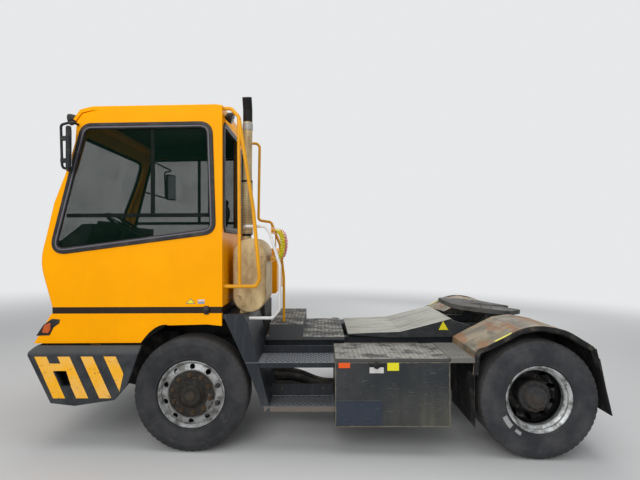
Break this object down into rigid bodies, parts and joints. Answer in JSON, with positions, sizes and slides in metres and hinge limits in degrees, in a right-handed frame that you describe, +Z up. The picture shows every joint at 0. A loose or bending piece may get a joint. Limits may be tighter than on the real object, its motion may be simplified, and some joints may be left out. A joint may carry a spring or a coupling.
{
  "type": "terminal tractor",
  "caption": "Terminal tractor with a narrow cab over the front axle, boarding steps, a lid box and a lifting boom with a fifth wheel over twin rear wheels.",
  "frame": {"origin": "on the ground below the middle of the vehicle's outer box", "axes": "+X forward, +Y to the vehicle's left, +Z up"},
  "size_m": [5.186, 2.827, 3.2833],
  "materials": {
    "tyre": "worn",
    "rim": "satin, dusty",
    "axle_iron": "dirty",
    "chassis_paint": "matt, worn",
    "cab_paint": "gloss",
    "guard_steel": "worn, rusty",
    "chromed_rod": "polished",
    "glass": "clear",
    "black_plastic": "matt",
    "engine_iron": "painted",
    "tread_steel": "worn tread plate",
    "white_paint": "gloss",
    "worn_steel": "worn, greasy",
    "tarnished_steel": "tarnished",
    "seat_fabric": "woven",
    "yellow_hose": "gloss",
    "red_hose": "gloss"
  },
  "bodies": {
    "chassis": {"frame_rail_left": "chassis_paint", "frame_rail_right": "chassis_paint", "side_skirt_left": "cab_paint", "side_skirt_right": "cab_paint", "mudguard_left": "guard_steel", "mudguard_right": "guard_steel", "cab_side_left": "cab_paint", "cab_side_right": "cab_paint", "glass_left": "glass", "glass_right": "glass", "mirror_left": "black_plastic", "mirror_right": "black_plastic", "front_axle": "axle_iron", "rear_axle": "axle_iron", "pivot_crossmember": "chassis_paint", "tail_crossmember": "chassis_paint", "front_bumper": "chassis_paint", "front_apron": "cab_paint", "engine": "engine_iron", "engine_cover": "cab_paint", "deck": "tread_steel", "step_frame": "chassis_paint", "handrail_white": "white_paint", "tool_box": "chassis_paint", "fuel_tank": "chassis_paint", "exhaust": "tarnished_steel", "handrail_yellow": "cab_paint", "cab_front": "cab_paint", "cab_rear": "cab_paint", "cab_roof": "cab_paint", "cab_floor": "chassis_paint", "windscreen": "glass", "glass_rear": "glass", "seat": "seat_fabric", "dashboard": "black_plastic", "entry_rail": "cab_paint", "air_coil_yellow": "yellow_hose", "air_coil_red": "red_hose"},
    "knuckle_left": {"knuckle_left": "axle_iron"},
    "knuckle_right": {"knuckle_right": "axle_iron"},
    "front_wheel_left": {"front_tyre_left": "tyre", "front_rim_left": "rim"},
    "front_wheel_right": {"front_tyre_right": "tyre", "front_rim_right": "rim"},
    "rear_wheels_left": {"rear_tyre_outer_left": "tyre", "rear_tyre_inner_left": "tyre", "rear_rims_left": "rim"},
    "rear_wheels_right": {"rear_tyre_outer_right": "tyre", "rear_tyre_inner_right": "tyre", "rear_rims_right": "rim"},
    "door": {"cab_door": "cab_paint", "glass_door": "glass"},
    "box_lid": {"box_lid": "tread_steel"},
    "boom": {"lift_boom": "chassis_paint"},
    "lift_barrel_left": {"lift_barrel_left": "chassis_paint"},
    "lift_barrel_right": {"lift_barrel_right": "chassis_paint"},
    "lift_rod_left": {"lift_rod_left": "chromed_rod"},
    "lift_rod_right": {"lift_rod_right": "chromed_rod"},
    "fifth_wheel": {"fifth_wheel": "worn_steel"},
    "steering_wheel": {"steering_wheel": "black_plastic"}
  },
  "joints": [
    {"name": "boom_lift", "type": "hinge", "parent": "chassis", "child": "boom", "pos_m": [-0.34734, 0, 0.8564], "axis": [0, 1, 0], "range_deg": [0, 24]},
    {"name": "fifth_wheel_pitch", "type": "hinge", "parent": "boom", "child": "fifth_wheel", "pos_m": [-1.84151, 0, 1.11299], "axis": [0, -1, 0], "range_deg": [-10, 24]},
    {"name": "steer_left", "type": "hinge", "parent": "chassis", "child": "knuckle_left", "pos_m": [1.13218, 0.945, 0.512], "axis": [0, 0, 1], "range_deg": [-40, 40]},
    {"name": "steer_right", "type": "hinge", "parent": "chassis", "child": "knuckle_right", "pos_m": [1.13218, -0.945, 0.512], "axis": [0, 0, 1], "range_deg": [-40, 40]},
    {"name": "steering_wheel_turn", "type": "hinge", "parent": "chassis", "child": "steering_wheel", "pos_m": [2.04201, 0.57, 2.02838], "axis": [-0.5534, 0, 0.8329], "range_deg": [-565, 565]},
    {"name": "front_spin_left", "type": "hinge", "parent": "knuckle_left", "child": "front_wheel_left", "pos_m": [1.13218, 1.1, 0.512], "axis": [0, 1, 0], "continuous": true},
    {"name": "front_spin_right", "type": "hinge", "parent": "knuckle_right", "child": "front_wheel_right", "pos_m": [1.13218, -1.1, 0.512], "axis": [0, 1, 0], "continuous": true},
    {"name": "rear_spin_left", "type": "hinge", "parent": "chassis", "child": "rear_wheels_left", "pos_m": [-1.96782, 0.9375, 0.53], "axis": [0, 1, 0], "continuous": true},
    {"name": "rear_spin_right", "type": "hinge", "parent": "chassis", "child": "rear_wheels_right", "pos_m": [-1.96782, -0.9375, 0.53], "axis": [0, 1, 0], "continuous": true},
    {"name": "door_hinge", "type": "hinge", "parent": "chassis", "child": "door", "pos_m": [0.8768, -0.342, 2.15688], "axis": [0.0244, 0, 0.9997], "range_deg": [0, 95]},
    {"name": "lid_hinge", "type": "hinge", "parent": "chassis", "child": "box_lid", "pos_m": [-0.64734, 0.609, 0.85973], "axis": [0.9997, 0, -0.0244], "range_deg": [0, 90]},
    {"name": "barrel_tilt_left", "type": "hinge", "parent": "chassis", "child": "lift_barrel_left", "pos_m": [-0.55045, 0.23, 0.73133], "axis": [0, 1, 0], "range_deg": [0, 28.5]},
    {"name": "rod_slide_left", "type": "slide", "parent": "lift_barrel_left", "child": "lift_rod_left", "axis": [-0.961, 0, 0.2766], "range_m": [0, 0.087]},
    {"name": "barrel_tilt_right", "type": "hinge", "parent": "chassis", "child": "lift_barrel_right", "pos_m": [-0.55045, -0.23, 0.73133], "axis": [0, 1, 0], "range_deg": [0, 28.5]},
    {"name": "rod_slide_right", "type": "slide", "parent": "lift_barrel_right", "child": "lift_rod_right", "axis": [-0.961, 0, 0.2766], "range_m": [0, 0.087]}
  ],
  "couplings": [
    {"joint": "steer_right", "follows": "steer_left", "ratio": 1},
    {"joint": "steering_wheel_turn", "follows": "steer_left", "ratio": 14},
    {"joint": "barrel_tilt_left", "follows": "boom_lift", "ratio": 1.165},
    {"joint": "rod_slide_left", "follows": "boom_lift", "m_per_rad": 0.202},
    {"joint": "barrel_tilt_right", "follows": "boom_lift", "ratio": 1.165},
    {"joint": "rod_slide_right", "follows": "boom_lift", "m_per_rad": 0.202}
  ]
}
